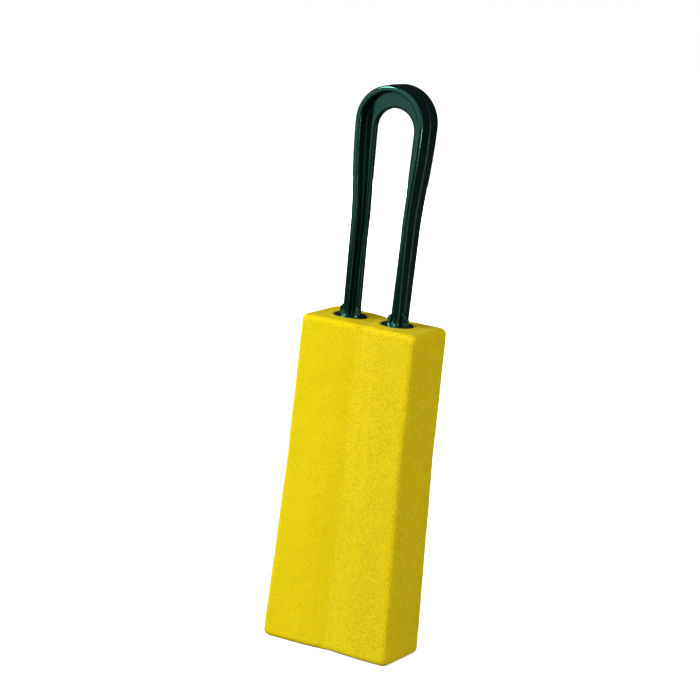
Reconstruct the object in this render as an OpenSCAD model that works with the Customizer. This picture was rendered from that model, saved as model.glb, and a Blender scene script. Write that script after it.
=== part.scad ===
// Foam sponge brush: a moulded loop handle whose two barbed prongs push into a two-lobed foam head.
// Millimetres, +Z up, front face towards -Y. The origin is the centre of the foam's bottom face.

/* [Foam head] */
// Height of the foam head
foam_h = 159; // [140:0.5:180]
// Width of the foam head at its top
foam_top_w = 61; // [52:0.5:66]
// Width of the foam head at its waist, where its sides begin to flare
foam_waist_w = 61.6; // [54:0.2:67]
// Height of the waist
foam_waist_z = 92; // [60:1:120]
// Width of the foam head at its bottom
foam_bottom_w = 68; // [64:0.5:78]
// Depth of the foam head, front to back
foam_d = 34; // [30:0.5:42]
// Rounding of the foam's standing edges and top edges
foam_edge_r = 2.6; // [1:0.1:5]
// Rounding of the foam's bottom edges
foam_base_r = 2.4; // [0.5:0.1:3]
// How far the front and back faces fall in where the two lobes meet
crease_depth = 1.7; // [0.4:0.1:3]
// How far from the middle the fall to the crease begins
crease_run = 11; // [6:0.5:14]
// Thickness of the adhesive film between the two lobes
bond_t = 0.4; // [0.2:0.1:0.8]

/* [Loop handle] */
// Height of the loop above the foam
loop_h = 111; // [100:0.5:130]
// Outer radius of the crown
crown_r = 17.7; // [16.5:0.1:20]
// Outer width of the loop along its parallel legs
legs_w = 30; // [28:0.2:32]
// Height above the foam at which the legs begin to swell towards the crown
swell_h = 43; // [20:1:60]
// Thickness of the outer strap
strap_t = 3; // [2.4:0.1:3.6]
// Depth of the strap round the crown
strap_crown_d = 16.4; // [13:0.2:18]
// Depth of the strap where it meets the flanges
strap_foot_d = 11.6; // [9:0.2:12]
// Height above the foam at which the strap reaches its full depth
strap_full_h = 70; // [40:1:85]
// Thickness of the central web inside the strap
web_t = 3.4; // [2.4:0.1:4]
// Width of the finger hole at its foot
hole_foot_w = 17; // [16:0.2:19]
// Radius of the finger hole's crown
hole_r = 10; // [9.5:0.1:10.5]
// Distance from the top of the loop down to the finger hole
hole_drop = 11; // [9:0.1:13]

/* [Flanges] */
// Diameter of each flange
flange_d = 15.4; // [14:0.2:18]
// Thickness of each flange
flange_t = 2; // [1.6:0.1:3]
// Distance between the two flanges' centres
flange_pitch = 25; // [23:0.2:28]
// Depth that each flange sits into the foam
seat_depth = 1.2; // [0.4:0.1:1.4]
// How far the flanges, gussets and prongs sit in front of the middle of the strap
flange_forward = 1.4; // [0:0.1:1.6]
// Width of the gusset outside each leg
outer_gusset_w = 3; // [2:0.1:4]
// Width of the gusset inside each leg
inner_gusset_w = 1; // [0.6:0.1:2.4]
// Thickness of the gussets
gusset_t = 2.4; // [1.6:0.1:3.2]
// Height of the gussets' upright outer edges
gusset_h = 3; // [1:0.1:5]

/* [Prongs] */
// Length of each prong below its flange
prong_l = 115; // [80:1:120]
// Thickness of a prong's blade and of its cross rib
blade_t = 2.8; // [2.4:0.1:3.2]
// Depth of the blade between its barbs
blade_d = 8; // [6:0.2:9]
// Width of the cross rib
rib_w = 7; // [5:0.2:8]
// How far each barb stands out of the blade
barb_out = 1.2; // [0.6:0.1:1.6]
// Spacing of the barbs along the blade
barb_pitch = 14; // [11:1:18]
// Clearance between a prong and the slit that it fills
slit_gap = 0.4; // [0.3:0.05:0.6]

/* [Hidden] */
$fn = 96;

handle_green = "#0f3b33";
foam_yellow = "#e6cf22";
film_cream = "#d9cf9a";

arc_steps = 6;
swell_steps = 14;
flange_z = foam_h - seat_depth;
flange_top = flange_z + flange_t;
leg_root_z = flange_top - 1;
loop_top = foam_h + loop_h;
crown_z = loop_top - crown_r;
hole_z = loop_top - hole_drop - hole_r;
prong_x = flange_pitch / 2;
tip_l = 8;
tip_share = 0.3;
barb_slope = 5;
barb_count = floor((prong_l - tip_l - barb_pitch / 2) / barb_pitch);
slit_extra_l = 3;

// Points of an arc of radius r about centre c, from angle a0 to angle a1
function arc(c, r, a0, a1) = [
    for (i = [0 : arc_steps])
        let (a = a0 + (a1 - a0) * i / arc_steps)
        [c.x + r * cos(a), c.y + r * sin(a)]
];

// Half the foam's width at height z: it flares below the waist and is nearly straight above it
function foam_half_w(z) =
    lookup(z, [[0, foam_bottom_w], [foam_waist_z, foam_waist_w], [foam_h, foam_top_w]]) / 2;

// Rises smoothly from 0 to 1 as t does
function smooth(t) = t * t * (3 - 2 * t);

// Outer face of the right-hand leg from root_z up to the crown, at a distance inset inside it
function leg_side(inset, root_z) = [
    [legs_w / 2 - inset, root_z],
    for (i = [0 : swell_steps])
        let (t = i / swell_steps, z = foam_h + swell_h + (loop_h - crown_r - swell_h) * t)
        [legs_w / 2 + (crown_r - legs_w / 2) * smooth(t) - inset, z]
];

// The same outline on the left-hand side, from the top down
function mirrored_down(points) = [for (i = [len(points) - 1 : -1 : 0]) [-points[i].x, points[i].y]];

// Plan of the right-hand lobe: rounded outer corners, faces that fall away towards the crease
function lobe_plan(half_w, inset) =
    let (
        face_y = foam_d / 2 - inset,
        side_x = half_w - inset,
        corner_x = side_x - foam_edge_r,
        corner_y = face_y - foam_edge_r,
        crease_y = face_y - crease_depth
    )
    concat(
        [[bond_t / 2, -crease_y], [crease_run, -face_y]],
        arc([corner_x, -corner_y], foam_edge_r, -90, 0),
        arc([corner_x, corner_y], foam_edge_r, 0, 90),
        [[crease_run, face_y], [bond_t / 2, crease_y]]
    );

// Seen from the front, the solid outline of the loop at a distance inset inside its outer face
module loop_outline(inset, root_z) {
    side = leg_side(inset, root_z);
    translate([0, crown_z])
        circle(r = crown_r - inset);
    polygon(concat(side, mirrored_down(side)));
}

// Seen from the front, the finger hole: a half round on top of two nearly straight sides
module finger_hole() {
    side = [[hole_foot_w / 2, leg_root_z - 1], [hole_r, hole_z]];
    translate([0, hole_z])
        circle(r = hole_r);
    polygon(concat(side, mirrored_down(side)));
}

// Turns an outline drawn as seen from the front into a plate of the given depth, centred on Y = 0
module plate(depth) {
    rotate([90, 0, 0])
        linear_extrude(height = depth, center = true)
            children();
}

// Turns an outline drawn as seen from the side into a slab of the given width, centred on X = 0
module slab(width) {
    rotate([90, 0, 90])
        linear_extrude(height = width, center = true)
            children();
}

// The outer strap, which narrows from the crown to the foot
module strap() {
    half_foot = strap_foot_d / 2;
    half_crown = strap_crown_d / 2;
    side = [[half_foot, leg_root_z], [half_crown, foam_h + strap_full_h], [half_crown, loop_top + 1]];
    intersection() {
        plate(2 * strap_crown_d)
            difference() {
                loop_outline(0, leg_root_z);
                loop_outline(strap_t, leg_root_z - 1);
            }
        slab(4 * crown_r)
            polygon(concat(side, mirrored_down(side)));
    }
}

// The central web that stiffens the strap and rims the finger hole
module web() {
    plate(web_t)
        difference() {
            loop_outline(strap_t / 2, leg_root_z);
            finger_hole();
        }
}

// A gusset of width w with its back on X = 0: an upright outer edge under a 45 degree slope
module gusset(w) {
    polygon([[-1, -1], [w, -1], [w, gusset_h], [0, gusset_h + w], [-1, gusset_h + w]]);
}

// The gussets on the outer and inner side of the right-hand leg
module leg_gussets() {
    translate([0, -flange_forward, 0])
        plate(gusset_t) {
            translate([legs_w / 2, flange_top])
                gusset(outer_gusset_w);
            translate([hole_foot_w / 2, flange_top])
                mirror([1, 0])
                    gusset(inner_gusset_w);
        }
}

// Seen from the side, half of a prong's blade with barbs that let it in and hold it against a pull
module barbed_half_outline() {
    half_d = blade_d / 2;
    barbs = [
        for (i = [0 : barb_count - 1])
            let (z = tip_l + barb_pitch * i)
            each [[half_d, z], [half_d + barb_out, z + barb_slope], [half_d, z + barb_slope]]
    ];
    polygon(concat([[0, 0], [half_d * tip_share, 0]], barbs, [[half_d, prong_l + 1], [0, prong_l + 1]]));
}

// One prong, standing on its tip at the origin
module prong() {
    slab(blade_t) {
        barbed_half_outline();
        mirror([1, 0])
            barbed_half_outline();
    }
    plate(blade_t)
        polygon([
            [-rib_w / 2 * tip_share, 0],
            [rib_w / 2 * tip_share, 0],
            [rib_w / 2, tip_l],
            [rib_w / 2, prong_l + 1],
            [-rib_w / 2, prong_l + 1],
            [-rib_w / 2, tip_l]
        ]);
}

// Handle moulding: loop, flanges, gussets and prongs in one piece
module loop_handle() {
    color(handle_green) {
        strap();
        web();
        for (side = [0, 1])
            mirror([side, 0, 0]) {
                leg_gussets();
                translate([prong_x, -flange_forward, flange_z])
                    cylinder(d = flange_d, h = flange_t);
                translate([prong_x, -flange_forward, flange_z - prong_l])
                    prong();
            }
    }
}

// The cross-shaped slit that a prong opens in the foam, with its mouth at the origin
module prong_slit() {
    length = prong_l + slit_extra_l;
    blade_slit = [blade_t, blade_d + 2 * barb_out] + 2 * slit_gap * [1, 1];
    rib_slit = [rib_w, blade_t] + 2 * slit_gap * [1, 1];
    for (slit = [blade_slit, rib_slit])
        translate([-slit.x / 2, -slit.y / 2, -length])
            cube([slit.x, slit.y, length + 1]);
}

// The right-hand lobe, skinned over a stack of plans: rounded at the base, flared up to the waist,
// and rounded at the top. A level is a height and how far its plan is drawn in.
module lobe() {
    base = [for (a = [0 : 30 : 90]) [foam_base_r * (1 - cos(a)), foam_base_r * (1 - sin(a))]];
    top = [for (a = [90 : -15 : 0]) [foam_h - foam_edge_r * (1 - cos(a)), foam_edge_r * (1 - sin(a))]];
    levels = concat(base, [[foam_waist_z, 0]], top);
    rings = [for (level = levels) [for (p = lobe_plan(foam_half_w(level[0]), level[1])) [p.x, p.y, level[0]]]];
    n = len(rings[0]);
    last = (len(rings) - 1) * n;
    polyhedron(
        points = [for (ring = rings) each ring],
        faces = concat(
            [[for (i = [0 : n - 1]) i]],
            [for (low = [0 : n : last - n], i = [0 : n - 1])
                let (j = (i + 1) % n)
                [low + i, low + n + i, low + n + j, low + j]],
            [[for (i = [n - 1 : -1 : 0]) last + i]]
        )
    );
}

// One foam block: the lobe, less the flange's seat and the prong's slit
module foam_block() {
    difference() {
        lobe();
        translate([prong_x, -flange_forward, flange_z])
            cylinder(d = flange_d + 2 * slit_gap, h = seat_depth + 1);
        translate([prong_x, -flange_forward, flange_z])
            prong_slit();
    }
}

module foam_left() {
    color(foam_yellow)
        mirror([1, 0, 0])
            foam_block();
}

module foam_right() {
    color(foam_yellow)
        foam_block();
}

// The adhesive film that bonds the two blocks, set back from every outer face
module bond_film() {
    margin = foam_edge_r;
    depth = foam_d - 2 * crease_depth - 2 * margin;
    color(film_cream)
        translate([-bond_t / 2, -depth / 2, margin])
            cube([bond_t, depth, foam_h - 2 * margin]);
}

loop_handle();
foam_left();
foam_right();
bond_film();
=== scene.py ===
"""Looks of the foam sponge brush: a glossy dark green loop handle pushed into a two-lobed yellow foam head.

Shapes are worked out in millimetres, and turned into metres when their mesh is made.
"""

from math import cos, pi, radians, sin, sqrt

import bmesh
import bpy
import numpy as np
from mathutils import Matrix, Vector, noise


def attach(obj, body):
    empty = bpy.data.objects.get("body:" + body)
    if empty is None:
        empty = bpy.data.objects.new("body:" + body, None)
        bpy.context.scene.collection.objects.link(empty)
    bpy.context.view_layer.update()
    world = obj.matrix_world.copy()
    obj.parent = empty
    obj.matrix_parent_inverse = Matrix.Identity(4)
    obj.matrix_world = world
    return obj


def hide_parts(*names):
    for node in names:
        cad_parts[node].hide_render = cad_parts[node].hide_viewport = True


MM = 0.001

# Foam head
FOAM_H = 159.0
FOAM_D = 34.0
CREASE_DEPTH = 1.7
CREASE_RUN = 11.0
CREASE_BLEND = 0.6
BOND_HALF = 0.2
NEAR_BOND = 1.6
TOP_ZONE = 9
TOP_DIP = 0.5
TOP_DIP_RUN = 4.5
LIP_H = 0.45
LIP_R = 9.0
LIP_W = 1.3
VOXEL = 0.65
PORE = 0.62

# Unevenness of the foam's skin: height and width of its lumps
SWELLS = (0.22, 26.0)
DIMPLES = (0.10, 6.0)
GRAIN = (0.05, 1.2)

# Loop handle
LOOP_TOP = 270.0
CROWN_R = 17.7
LEG_HALF = 15.0
SWELL_Z = 202.0
STRAP_T = 3.0
STRAP_CROWN_HALF = 8.2
STRAP_FOOT_HALF = 5.8
STRAP_FULL_Z = 229.0
WEB_HALF = 1.7
HOLE_FOOT_HALF = 8.5
HOLE_R = 10.0
HOLE_Z = 249.0
CROWN_Z = LOOP_TOP - CROWN_R

# Flanges and gussets
FLANGE_R = 7.7
FLANGE_Z = 157.8
FLANGE_TOP = 159.8
FLANGE_FORWARD = 1.4
PRONG_X = 12.5
OUTER_GUSSET_W = 3.0
INNER_GUSSET_W = 1.0
GUSSET_HALF = 1.2
GUSSET_H = 3.0

# Prongs
PRONG_L = 115.0
BLADE_T = 2.8
BLADE_HALF = 4.0
RIB_HALF = 3.5
BARB_OUT = 1.2
BARB_PITCH = 14.0
BARB_SLOPE = 5.0
TIP_L = 8.0
TIP_SHARE = 0.3

# Edges and surface of the moulding
STRAP_OUTER_R = 1.0
STRAP_INNER_R = 0.7
WEB_ROOT_R = 0.5
WEB_EDGE_R = 0.8
LEG_ROOT_R = 0.45
FLANGE_EDGE_R = 0.5
SMALL_EDGE_R = 0.35
PRONG_EDGE_R = 0.25
PARTING_RISE = 0.07
PARTING_HALF = 0.14
STRAP_CROWNING = 0.14

# How finely the loop and flanges are cut: slices up a leg, degrees round the crown, sides of a flange
LEG_SLICES = 36
CROWN_STEP = 3
FLANGE_SIDES = 72

# Angles, in degrees, above which an edge is bevelled or stays sharp
BEVEL_ANGLE = 20
HANDLE_SHARP = 34
FOAM_SHARP = 50

# Light
FLOOR_BOUNCE = 0.05
ROOM_BRIGHT_SIDE = (40, 5)
ROOM_BRIGHT = 0.62
ROOM_DARK = 0.025

# Camera
VIEW_CENTRE_Z = 135.0
VIEW_AZIMUTH = 27.72
VIEW_ELEVATION = 12.18
VIEW_ROLL = 6.25
VIEW_DISTANCE = 1316.0
VIEW_LENS = 144.1
VIEW_SHIFT = (-0.0281, 0.0287)


def clamp01(t):
    return max(0.0, min(1.0, t))


def smooth(t):
    """Rises from 0 to 1 as t does, level at both ends."""
    t = clamp01(t)
    return t * t * (3 - 2 * t)


def arc(centre, r, start, end, steps):
    """Points of an arc from angle start to angle end, in degrees."""
    angles = [radians(start + (end - start) * i / steps) for i in range(steps + 1)]
    return [(centre[0] + r * cos(a), centre[1] + r * sin(a)) for a in angles]


# ---------------------------------------------------------------- mesh helpers


def new_piece(name, points, faces):
    """A mesh object from points in millimetres."""
    mesh = bpy.data.meshes.new(name)
    mesh.from_pydata([tuple(c * MM for c in p) for p in points], [], faces)
    mesh.update()
    piece = bpy.data.objects.new(name, mesh)
    bpy.context.scene.collection.objects.link(piece)
    return piece


def skin(rings):
    """Points and faces of a closed skin over rings that all have the same number of points."""
    n = len(rings[0])
    points = [p for ring in rings for p in ring]
    faces = []
    for k in range(len(rings) - 1):
        low, high = k * n, (k + 1) * n
        for i in range(n):
            j = (i + 1) % n
            faces.append((low + i, low + j, high + j, high + i))
    faces.append(tuple(reversed(range(n))))
    faces.append(tuple(range((len(rings) - 1) * n, len(rings) * n)))
    return points, faces


def bevel_edges(piece, radius, segments=3):
    """Rounds every edge sharper than BEVEL_ANGLE."""
    bm = bmesh.new()
    bm.from_mesh(piece.data)
    bmesh.ops.recalc_face_normals(bm, faces=bm.faces)
    sharp = [e for e in bm.edges if len(e.link_faces) == 2 and e.calc_face_angle() > radians(BEVEL_ANGLE)]
    bmesh.ops.bevel(
        bm,
        geom=sharp,
        offset=radius * MM,
        segments=segments,
        profile=0.5,
        affect="EDGES",
        clamp_overlap=True,
    )
    bm.to_mesh(piece.data)
    bm.free()
    return piece


def extruded(name, outline, half_t, along):
    """A flat plate with this outline: (x, z) points if it is extruded along Y, (y, z) points along X."""
    order = (lambda a, b, t: (a, t, b)) if along == "Y" else (lambda a, b, t: (t, a, b))
    rings = [[order(a, b, t) for a, b in outline] for t in (-half_t, half_t)]
    return new_piece(name, *skin(rings))


def outward_normals(piece):
    """Turns every face of a closed piece outwards."""
    bm = bmesh.new()
    bm.from_mesh(piece.data)
    bmesh.ops.recalc_face_normals(bm, faces=bm.faces)
    bm.to_mesh(piece.data)
    bm.free()
    return piece


def baked(piece):
    """Applies the piece's modifiers to its mesh."""
    depsgraph = bpy.context.evaluated_depsgraph_get()
    mesh = bpy.data.meshes.new_from_object(piece.evaluated_get(depsgraph))
    piece.modifiers.clear()
    piece.data = mesh
    return piece


def united(piece, others):
    """Joins the other solids to the piece, leaving no wall inside."""
    for other in others:
        join = piece.modifiers.new("union", "BOOLEAN")
        join.operation = "UNION"
        join.solver = "EXACT"
        join.object = other
        baked(piece)
        bpy.data.objects.remove(other)
    return piece


# ---------------------------------------------------------------- loop handle


def leg_outer(z):
    """Half the loop's outer width at height z, below the crown."""
    return LEG_HALF + (CROWN_R - LEG_HALF) * smooth((z - SWELL_Z) / (CROWN_Z - SWELL_Z))


def hole_half(z):
    """Half the finger hole's width at height z."""
    if z <= HOLE_Z:
        foot_z = FLANGE_TOP - 2
        return HOLE_FOOT_HALF + (HOLE_R - HOLE_FOOT_HALF) * (z - foot_z) / (HOLE_Z - foot_z)
    return sqrt(HOLE_R**2 - (z - HOLE_Z) ** 2)


def strap_half(z):
    """Half the strap's depth at height z."""
    rise = clamp01((z - FLANGE_TOP) / (STRAP_FULL_Z - FLANGE_TOP))
    return STRAP_FOOT_HALF + (STRAP_CROWN_HALF - STRAP_FOOT_HALF) * rise


def root_swell(height):
    """How far a leg's skin stands out where it runs into its flange."""
    if height >= LEG_ROOT_R:
        return 0.0
    rest = 1 - max(height, 0.0) / LEG_ROOT_R
    return LEG_ROOT_R * (1 - sqrt(1 - rest**2))


def half_section(half_depth, reach):
    """Half the strap-and-web section, from the middle of the outer face round to the hole's rim.

    A point is its distance outside the outer face and its distance from the middle plane.
    """
    flat = half_depth - STRAP_OUTER_R
    web_top = -STRAP_T - WEB_ROOT_R
    rim = -reach + WEB_EDGE_R
    points = [(PARTING_RISE, 0.0)]
    points += [(-STRAP_CROWNING * (v / flat) ** 2, v) for v in (PARTING_HALF, flat * 0.35, flat * 0.7)]
    points += arc((-STRAP_CROWNING - STRAP_OUTER_R, flat), STRAP_OUTER_R, 0, 90, 5)
    points += arc((-STRAP_T + STRAP_INNER_R, half_depth - STRAP_INNER_R), STRAP_INNER_R, 90, 180, 4)
    points += [(-STRAP_T, (half_depth + WEB_HALF) / 2)]
    points += [
        (web_top + WEB_ROOT_R * cos(radians(a)), WEB_HALF + WEB_ROOT_R * (1 - sin(radians(a))))
        for a in range(0, 91, 30)
    ]
    points += [((web_top + rim) / 2, WEB_HALF)]
    points += [
        (rim - WEB_EDGE_R * sin(radians(a)), WEB_HALF - WEB_EDGE_R * (1 - cos(radians(a))))
        for a in range(0, 91, 30)
    ]
    return points + [(-reach, 0.0)]


def section(half_depth, reach, swell):
    """The whole section, swollen outwards by a small distance."""
    half = half_section(half_depth, reach)
    ring = half + [(n, -v) for n, v in reversed(half[1:-1])]
    if not swell:
        return ring
    grown = []
    for i, (n, v) in enumerate(ring):
        before, after = ring[i - 1], ring[(i + 1) % len(ring)]
        along = Vector((after[0] - before[0], after[1] - before[1])).normalized()
        grown.append((n + swell * along.y, v - swell * along.x))
    return grown


def leg_heights():
    """Heights at which a leg is sliced, close together where it runs into its flange."""
    near = [-0.6, 0.0, 1.6] + [LEG_ROOT_R * share for share in (0.1, 0.3, 0.6, 1)]
    heights = sorted(FLANGE_TOP + h for h in near)
    first = heights[-1]
    return heights + [first + (CROWN_Z - first) * i / LEG_SLICES for i in range(1, LEG_SLICES)]


def loop_rings():
    """Slices of the loop: up the right leg, round the crown and down the left leg."""
    legs = []
    for z in leg_heights():
        outer = leg_outer(z)
        ring = section(strap_half(z), outer - hole_half(z), root_swell(z - FLANGE_TOP))
        legs.append([(outer + n, v, z) for n, v in ring])
    crown = []
    for angle in range(0, 181, CROWN_STEP):
        a = radians(angle)
        drop = CROWN_Z - HOLE_Z
        rim_r = sqrt(HOLE_R**2 - (drop * cos(a)) ** 2) - drop * sin(a)
        ring = section(STRAP_CROWN_HALF, CROWN_R - rim_r, 0)
        crown.append([((CROWN_R + n) * cos(a), v, CROWN_Z + (CROWN_R + n) * sin(a)) for n, v in ring])
    other = [[(-x, y, z) for x, y, z in ring] for ring in reversed(legs)]
    return legs + crown + other


def flange(side):
    """A round disc with rounded rims, and a slightly domed top."""
    r = FLANGE_EDGE_R
    outline = [(0.02, FLANGE_Z), (FLANGE_R - r, FLANGE_Z)]
    outline += arc((FLANGE_R - r, FLANGE_Z + r), r, -60, 0, 3)
    outline += arc((FLANGE_R - r, FLANGE_TOP - r), r, 0, 90, 5)
    outline += [(FLANGE_R * 0.5, FLANGE_TOP + 0.06), (0.02, FLANGE_TOP + 0.08)]
    turn = [2 * pi * i / FLANGE_SIDES for i in range(FLANGE_SIDES)]
    rings = []
    for radius, z in outline:
        circle = [(radius * cos(a), radius * sin(a)) for a in turn]
        rings.append([(side * PRONG_X + x, y - FLANGE_FORWARD, z) for x, y in circle])
    return outward_normals(new_piece("flange", *skin(rings)))


def gusset(foot_x, width, out):
    """A rounded wedge on the flange: its back is on foot_x, and it stands out towards out."""
    peak = GUSSET_H + width
    outline = [(-1, -0.6), (width, -0.6), (width, GUSSET_H), (0, peak), (-1, peak)]
    piece = extruded("gusset", [(foot_x + out * a, FLANGE_TOP + b) for a, b in outline], GUSSET_HALF, "Y")
    piece.data.transform(Matrix.Translation((0, -FLANGE_FORWARD * MM, 0)))
    return bevel_edges(piece, SMALL_EDGE_R)


def prong(side):
    """The barbed blade and the cross rib of one prong, as two solids."""
    tip_z = FLANGE_Z - PRONG_L
    half = [(BLADE_HALF * TIP_SHARE, 0)]
    for i in range(int((PRONG_L - TIP_L - BARB_PITCH / 2) // BARB_PITCH)):
        z = TIP_L + BARB_PITCH * i
        half += [(BLADE_HALF, z), (BLADE_HALF + BARB_OUT, z + BARB_SLOPE), (BLADE_HALF, z + BARB_SLOPE)]
    half += [(BLADE_HALF, PRONG_L + 1)]
    blade_outline = half + [(-y, z) for y, z in reversed(half)]
    rib_half = [(RIB_HALF * TIP_SHARE, 0), (RIB_HALF, TIP_L), (RIB_HALF, PRONG_L + 1)]
    rib_outline = rib_half + [(-x, z) for x, z in reversed(rib_half)]
    blade = extruded("blade", [(y, z + tip_z) for y, z in blade_outline], BLADE_T / 2, "X")
    rib = extruded("rib", [(x, z + tip_z) for x, z in rib_outline], BLADE_T / 2, "Y")
    for piece in (blade, rib):
        bevel_edges(piece, PRONG_EDGE_R, 2)
        piece.data.transform(Matrix.Translation((side * PRONG_X * MM, -FLANGE_FORWARD * MM, 0)))
    return [blade, rib]


def handle_moulding():
    """The whole handle as one closed solid."""
    piece = outward_normals(new_piece("handle_moulding", *skin(loop_rings())))
    others = []
    for side in (1, -1):
        others.append(flange(side))
        others.append(gusset(side * LEG_HALF, OUTER_GUSSET_W, side))
        others.append(gusset(side * HOLE_FOOT_HALF, INNER_GUSSET_W, -side))
        others += prong(side)
    united(piece, others)
    piece.data.shade_smooth()
    piece.data.set_sharp_from_angle(angle=radians(HANDLE_SHARP))
    return piece


# ---------------------------------------------------------------- foam head


def read_points(mesh):
    """The mesh's points in millimetres."""
    co = np.empty(len(mesh.vertices) * 3, np.float32)
    mesh.vertices.foreach_get("co", co)
    return co.reshape(-1, 3).astype(float) / MM


def read_normals(mesh):
    """The outward direction at each of the mesh's points."""
    normals = np.empty(len(mesh.vertices) * 3, np.float32)
    mesh.vertex_normals.foreach_get("vector", normals)
    return normals.reshape(-1, 3).astype(float)


def write_points(mesh, points):
    """Moves the mesh's points to these places, in millimetres."""
    mesh.vertices.foreach_set("co", (points * MM).astype(np.float32).ravel())
    mesh.update()


def lumps(points, size, shift):
    """Smooth noise at each point, in millimetres, from lumps of this height and width."""
    height, cell = size
    moved = Vector((shift, shift, shift))
    return height * np.array([noise.noise(Vector(p) / cell + moved) for p in points])


def foam_block(name, node, seed):
    """A block of cut foam: the CAD block with soft edges, a dip at the crease and an uneven skin."""
    piece = bpy.data.objects.new(name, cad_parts[node].data.copy())
    bpy.context.scene.collection.objects.link(piece)
    remesh = piece.modifiers.new("even", "REMESH")
    remesh.mode = "VOXEL"
    remesh.voxel_size = VOXEL * MM
    soften = piece.modifiers.new("soften", "SMOOTH")
    soften.factor = 0.5
    soften.iterations = 3
    baked(piece)

    mesh = piece.data
    p = read_points(mesh)
    across = np.abs(p[:, 0])
    near_top = np.clip((p[:, 2] - (FOAM_H - TOP_ZONE)) / TOP_ZONE, 0, 1)
    off_bond = np.clip((across - 0.35) / 0.8, 0, 1)

    # Beside the crease the skin runs straight to the bond, with no rounding
    face = FOAM_D / 2 - CREASE_DEPTH * (1 - np.clip(across / CREASE_RUN, 0, 1))
    under = face - np.abs(p[:, 1])
    by_bond = across < NEAR_BOND
    on_face = by_bond & (under < 1.0) & ((under < across - BOND_HALF) | (under < 0.55))
    on_bond = by_bond & ((across - BOND_HALF < 0.5) | ~on_face)
    p[:, 1] = np.where(on_face, np.sign(p[:, 1]) * face, p[:, 1])
    p[:, 0] = np.where(on_bond, np.sign(p[:, 0]) * 0.01, p[:, 0])

    # The faces curve out of the crease, with no corner where they level off
    run = across / CREASE_RUN
    straight = np.clip(1 - run, 0, 1)
    blend = (1 + CREASE_BLEND - run) ** 2 / (4 * CREASE_BLEND)
    curved = np.where(np.abs(run - 1) < CREASE_BLEND, blend, straight)
    p[:, 1] *= 1 - CREASE_DEPTH * (curved - straight) / face

    # The top dips a little towards the crease
    p[:, 2] -= near_top * TOP_DIP * np.exp(-((across / TOP_DIP_RUN) ** 2))

    # Foam pushed up into a soft lip round the flange
    from_prong = np.hypot(across - PRONG_X, p[:, 1] + FLANGE_FORWARD)
    p[:, 2] += near_top * LIP_H * np.exp(-(((from_prong - LIP_R) / LIP_W) ** 2)) * off_bond

    # Faces that aren't quite flat, and the broken surface of the cells
    write_points(mesh, p)
    normals = read_normals(mesh)
    uneven = lumps(p, SWELLS, seed) + lumps(p, DIMPLES, seed + 7)
    grain = lumps(p, GRAIN, seed + 19)
    p += normals * ((uneven + grain) * off_bond)[:, None]

    # It stands on the floor, and nothing goes below it
    p[:, 2] = np.maximum(p[:, 2], 0)
    write_points(mesh, p)
    mesh.shade_smooth()
    mesh.set_sharp_from_angle(angle=radians(FOAM_SHARP))
    return piece


# ---------------------------------------------------------------- materials


class Nodes:
    """Short names for building a node tree."""

    def __init__(self, tree):
        self.tree = tree
        self.tree.nodes.clear()

    def add(self, kind, **values):
        node = self.tree.nodes.new(kind)
        for key, value in values.items():
            setattr(node, key, value)
        return node

    def link(self, source, target):
        self.tree.links.new(source, target)

    def coords(self):
        return self.add("ShaderNodeTexCoord").outputs["Object"]

    def noise(self, vector, scale, detail=2.0, rough=0.5):
        node = self.add("ShaderNodeTexNoise")
        node.inputs["Scale"].default_value = scale
        node.inputs["Detail"].default_value = detail
        node.inputs["Roughness"].default_value = rough
        self.link(vector, node.inputs["Vector"])
        return node.outputs["Fac"]

    def cells(self, vector, scale):
        """How far a point is from its cell's middle, and the cell's own random value."""
        node = self.add("ShaderNodeTexVoronoi", feature="F1")
        node.inputs["Scale"].default_value = scale
        self.link(vector, node.inputs["Vector"])
        return node.outputs["Distance"], node.outputs["Color"]

    def ramp(self, value, low, high, to_low=0.0, to_high=1.0):
        node = self.add("ShaderNodeMapRange")
        limits = {"From Min": low, "From Max": high, "To Min": to_low, "To Max": to_high}
        for key, number in limits.items():
            node.inputs[key].default_value = number
        self.link(value, node.inputs["Value"])
        return node.outputs["Result"]

    def mix(self, factor, a, b):
        """Mixes two colours, each a tuple or a socket."""
        node = self.add("ShaderNodeMix", data_type="RGBA")
        self.link(factor, node.inputs["Factor"])
        sockets = [s for s in node.inputs if s.type == "RGBA"]
        for socket, value in zip(sockets, (a, b)):
            if isinstance(value, tuple):
                socket.default_value = (*value, 1.0)
            else:
                self.link(value, socket)
        return [s for s in node.outputs if s.type == "RGBA"][0]

    def maths(self, operation, a, b):
        node = self.add("ShaderNodeMath", operation=operation)
        for socket, value in zip(node.inputs, (a, b)):
            if isinstance(value, (int, float)):
                socket.default_value = value
            else:
                self.link(value, socket)
        return node.outputs[0]

    def bump(self, height, depth_mm, strength, normal=None):
        node = self.add("ShaderNodeBump")
        node.inputs["Strength"].default_value = strength
        node.inputs["Distance"].default_value = depth_mm * MM
        self.link(height, node.inputs["Height"])
        if normal:
            self.link(normal, node.inputs["Normal"])
        return node.outputs["Normal"]

    def surface(self, **values):
        """The shader, with constants set on its own sockets and sockets linked."""
        shader = self.add("ShaderNodeBsdfPrincipled")
        out = self.add("ShaderNodeOutputMaterial")
        self.link(shader.outputs["BSDF"], out.inputs["Surface"])
        for key, value in values.items():
            socket = shader.inputs[key.replace("_", " ")]
            if isinstance(value, bpy.types.NodeSocket):
                self.link(value, socket)
            else:
                socket.default_value = value
        return shader


def new_material(name):
    material = bpy.data.materials.new(name)
    material.use_nodes = True
    return material, Nodes(material.node_tree)


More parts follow.
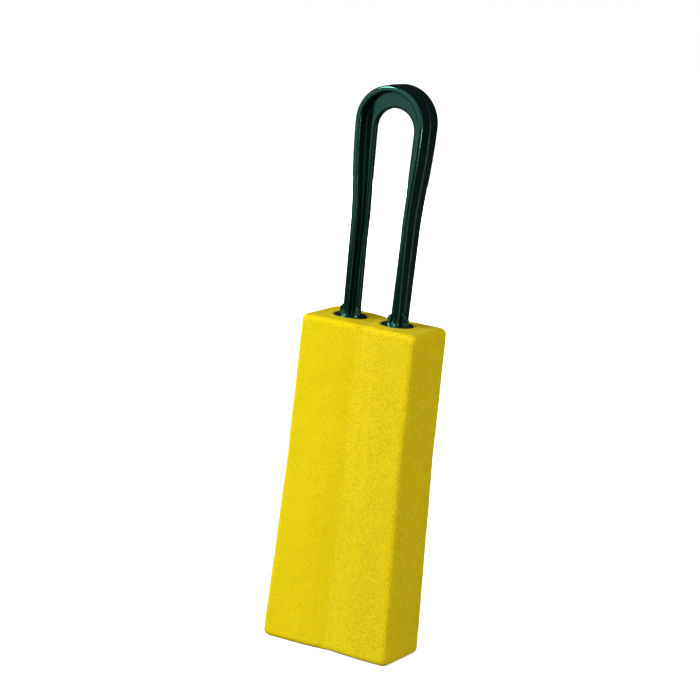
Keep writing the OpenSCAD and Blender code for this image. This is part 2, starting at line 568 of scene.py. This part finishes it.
def green_plastic():
    """Glossy moulded plastic: faint flow marks, a very fine skin texture and slightly uneven gloss."""
    material, n = new_material("glossy_green_plastic")
    at = n.coords()
    flow = n.noise(at, 90.0, 3.0)
    fine = n.noise(at, 1500.0, 2.0)
    colour = n.mix(n.ramp(flow, 0.3, 0.7), (0.0008, 0.0080, 0.0060), (0.0011, 0.0105, 0.0080))
    rough = n.ramp(n.noise(at, 260.0, 4.0, 0.65), 0.3, 0.75, 0.09, 0.17)
    skin_bump = n.bump(flow, 0.04, 0.25)
    n.surface(
        Base_Color=colour,
        Roughness=rough,
        Normal=n.bump(fine, 0.012, 0.35, skin_bump),
        IOR=1.5,
        Specular_IOR_Level=0.9,
        Specular_Tint=(0.26, 1.0, 0.82, 1.0),
        Coat_Weight=0.14,
        Coat_Roughness=0.06,
    )
    return material


def yellow_foam(name, pore_shade, pore_depth, haze):
    """Cut open-cell foam: small round pores, some shallow and some deep, in a matt body of uneven tint."""
    material, n = new_material(name)
    at = n.coords()
    near, chance = n.cells(at, 1 / (PORE * MM))
    hollow = n.maths("MULTIPLY", n.ramp(near, 0.15, 0.7, 1.0, 0.0), n.ramp(chance, 0.2, 0.8))
    tint = n.ramp(n.noise(at, 22.0, 2.0), 0.3, 0.7)
    body = n.mix(tint, (0.84, 0.66, 0.0012), (0.88, 0.695, 0.0030))
    n.surface(
        # Painted shade: the pores' hollows are painted darker, and the deep ones darkest
        Base_Color=n.mix(hollow, body, pore_shade),
        Roughness=0.85,
        Normal=n.bump(n.ramp(hollow, 0.0, 1.0, 1.0, 0.0), pore_depth, 0.6),
        Specular_IOR_Level=haze,
        Sheen_Weight=0.14,
        Sheen_Roughness=0.15,
        Sheen_Tint=(1.0, 0.98, 0.5, 1.0),
        Subsurface_Weight=0.15,
        Subsurface_Radius=(1.0, 0.7, 0.1),
        Subsurface_Scale=0.0015,
    )
    return material


def cream_adhesive():
    """Cured adhesive film: cloudy cream with the foam's cells printed in it."""
    material, n = new_material("cream_adhesive")
    at = n.coords()
    cloud = n.noise(at, 60.0, 4.0)
    prints, _ = n.cells(at, 1 / (1.2 * MM))
    colour = n.mix(n.ramp(cloud, 0.3, 0.7), (0.62, 0.52, 0.22), (0.74, 0.66, 0.36))
    n.surface(
        Base_Color=colour,
        Roughness=n.ramp(cloud, 0.3, 0.7, 0.38, 0.6),
        Normal=n.bump(prints, 0.12, 0.5),
        IOR=1.47,
    )
    return material


def give(piece, material):
    """Makes this the piece's only material."""
    piece.data.materials.clear()
    piece.data.materials.append(material)


# ---------------------------------------------------------------- stage, light and camera


def make_floor():
    """A pale floor: white to the camera but for a soft shadow, and dim in what it sends back."""
    corners = [(-3000, -3000, 0), (3000, -3000, 0), (3000, 3000, 0), (-3000, 3000, 0)]
    floor = new_piece("floor", corners, [(0, 1, 2, 3)])
    material, n = new_material("pale_floor")
    lit = n.add("ShaderNodeBsdfDiffuse")
    pale = n.mix(n.noise(n.coords(), 40.0, 3.0), (0.86, 0.86, 0.86), (0.90, 0.90, 0.90))
    n.link(pale, lit.inputs["Color"])
    from_middle = n.add("ShaderNodeVectorMath", operation="LENGTH")
    n.link(n.coords(), from_middle.inputs[0])
    glow = n.add("ShaderNodeEmission")
    n.link(n.ramp(from_middle.outputs["Value"], 0.1, 0.6, 0.72, 1.0), glow.inputs["Strength"])
    white = n.add("ShaderNodeAddShader")
    n.link(lit.outputs[0], white.inputs[0])
    n.link(glow.outputs[0], white.inputs[1])
    dim = n.add("ShaderNodeBsdfDiffuse")
    dim.inputs["Color"].default_value = (FLOOR_BOUNCE, FLOOR_BOUNCE, FLOOR_BOUNCE, 1.0)
    choose = n.add("ShaderNodeMixShader")
    n.link(n.add("ShaderNodeLightPath").outputs["Is Camera Ray"], choose.inputs[0])
    n.link(dim.outputs[0], choose.inputs[1])
    n.link(white.outputs[0], choose.inputs[2])
    out = n.add("ShaderNodeOutputMaterial")
    n.link(choose.outputs[0], out.inputs["Surface"])
    give(floor, material)


def make_world():
    """White to the camera. To everything else, a soft room: brightest at the front right, dark behind."""
    world = bpy.data.worlds.new("studio")
    bpy.context.scene.world = world
    world.use_nodes = True
    n = Nodes(world.node_tree)
    sees = n.add("ShaderNodeLightPath").outputs["Is Camera Ray"]
    direction = n.add("ShaderNodeTexCoord").outputs["Generated"]
    toward = n.add("ShaderNodeVectorMath", operation="DOT_PRODUCT")
    n.link(direction, toward.inputs[0])
    toward.inputs[1].default_value = direction_of(*ROOM_BRIGHT_SIDE)
    room = n.add("ShaderNodeBackground")
    room.inputs["Strength"].default_value = 1.0
    shade = n.ramp(toward.outputs["Value"], -0.15, 0.7)
    n.link(n.mix(shade, (ROOM_DARK,) * 3, (ROOM_BRIGHT,) * 3), room.inputs["Color"])
    backdrop = n.add("ShaderNodeBackground")
    backdrop.inputs["Color"].default_value = (1, 1, 1, 1)
    backdrop.inputs["Strength"].default_value = 1.0
    choose = n.add("ShaderNodeMixShader")
    n.link(sees, choose.inputs[0])
    n.link(room.outputs[0], choose.inputs[1])
    n.link(backdrop.outputs[0], choose.inputs[2])
    out = n.add("ShaderNodeOutputWorld")
    n.link(choose.outputs[0], out.inputs["Surface"])


def direction_of(azimuth, elevation):
    """Unit vector towards an azimuth (0 is the front, positive to the right) and an elevation."""
    a, e = radians(azimuth), radians(elevation)
    return Vector((sin(a) * cos(e), -cos(a) * cos(e), sin(e)))


def add_softbox(name, azimuth, elevation, distance, size, power, tint=(1, 1, 1), in_gloss=True):
    """A rectangular area light, in millimetres and watts, aimed at the middle of the brush.

    Without in_gloss it lights the brush but isn't mirrored in its gloss.
    """
    light = bpy.data.lights.new(name, "AREA")
    light.color = tint
    light.shape = "RECTANGLE"
    light.size, light.size_y = (s * MM for s in size)
    light.energy = power
    lamp = bpy.data.objects.new(name, light)
    bpy.context.scene.collection.objects.link(lamp)
    toward = direction_of(azimuth, elevation)
    lamp.location = Vector((0, 0, VIEW_CENTRE_Z * MM)) + toward * distance * MM
    lamp.rotation_euler = toward.to_track_quat("Z", "Y").to_euler()
    lamp.visible_camera = False
    lamp.visible_glossy = in_gloss


def add_camera():
    camera = bpy.data.cameras.new("camera")
    camera.sensor_width = 36
    camera.lens = VIEW_LENS
    camera.shift_x, camera.shift_y = VIEW_SHIFT
    eye = bpy.data.objects.new("camera", camera)
    bpy.context.scene.collection.objects.link(eye)
    back = direction_of(VIEW_AZIMUTH, VIEW_ELEVATION)
    right = Vector((cos(radians(VIEW_AZIMUTH)), sin(radians(VIEW_AZIMUTH)), 0))
    up = back.cross(right)
    r = radians(VIEW_ROLL)
    x_axis = right * cos(r) + up * sin(r)
    y_axis = up * cos(r) - right * sin(r)
    turn = Matrix((x_axis, y_axis, back)).transposed()
    place = Vector((0, 0, VIEW_CENTRE_Z * MM)) + back * VIEW_DISTANCE * MM
    eye.matrix_world = Matrix.Translation(place) @ turn.to_4x4()
    bpy.context.scene.camera = eye


# ---------------------------------------------------------------- the scene

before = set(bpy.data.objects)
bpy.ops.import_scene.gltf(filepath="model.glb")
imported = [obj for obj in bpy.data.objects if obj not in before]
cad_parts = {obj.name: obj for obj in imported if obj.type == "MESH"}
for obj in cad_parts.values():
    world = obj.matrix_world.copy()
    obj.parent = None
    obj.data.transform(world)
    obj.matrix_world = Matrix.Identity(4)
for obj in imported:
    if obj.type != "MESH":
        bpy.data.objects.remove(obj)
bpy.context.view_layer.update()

add_camera()
make_world()
make_floor()

# Azimuth, elevation, distance, size and power. The cards are small, and are mirrored in the handle as lines
add_softbox("key", -35, 24, 2200, (520, 520), 37)
add_softbox("band", 10, 42, 1300, (1100, 240), 1.9)
add_softbox("left_wall", -75, 8, 1300, (700, 900), 3)
add_softbox("low_card", -27.7, 5, 500, (200, 200), 0.09)
add_softbox("side_fill", 78, 6, 1300, (800, 800), 1.2, (1.0, 0.9, 0.3))
add_softbox("rim_card", 58, -2.4, 600, (210, 180), 0.06)
add_softbox("streak_card", 93, 0.9, 700, (220, 78), 0.9, (1.0, 0.95, 0.75))
add_softbox("line_card", 121, 0, 700, (70, 260), 0.28, (1.0, 0.95, 0.75))
add_softbox("back_fill", -163, 3, 1500, (800, 650), 21, in_gloss=False)

bpy.context.scene.view_settings.view_transform = "Standard"

plastic = green_plastic()

# The right-hand lobe has deeper pores than the left, with darker painted shade in them and more haze
foam = {
    "left": yellow_foam("yellow_foam_left", (0.70, 0.52, 0.001), 0.16, 0.12),
    "right": yellow_foam("yellow_foam_right", (0.60, 0.45, 0.001), 0.34, 0.22),
}

handle = handle_moulding()
give(handle, plastic)
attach(handle, "handle")
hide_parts("loop_handle")

for number, side in enumerate(("left", "right")):
    block = foam_block(f"foam_{side}_block", f"foam_{side}", 3 + 11 * number)
    give(block, foam[side])
    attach(block, "foam_head")
    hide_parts(f"foam_{side}")

give(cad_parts["bond_film"], cream_adhesive())
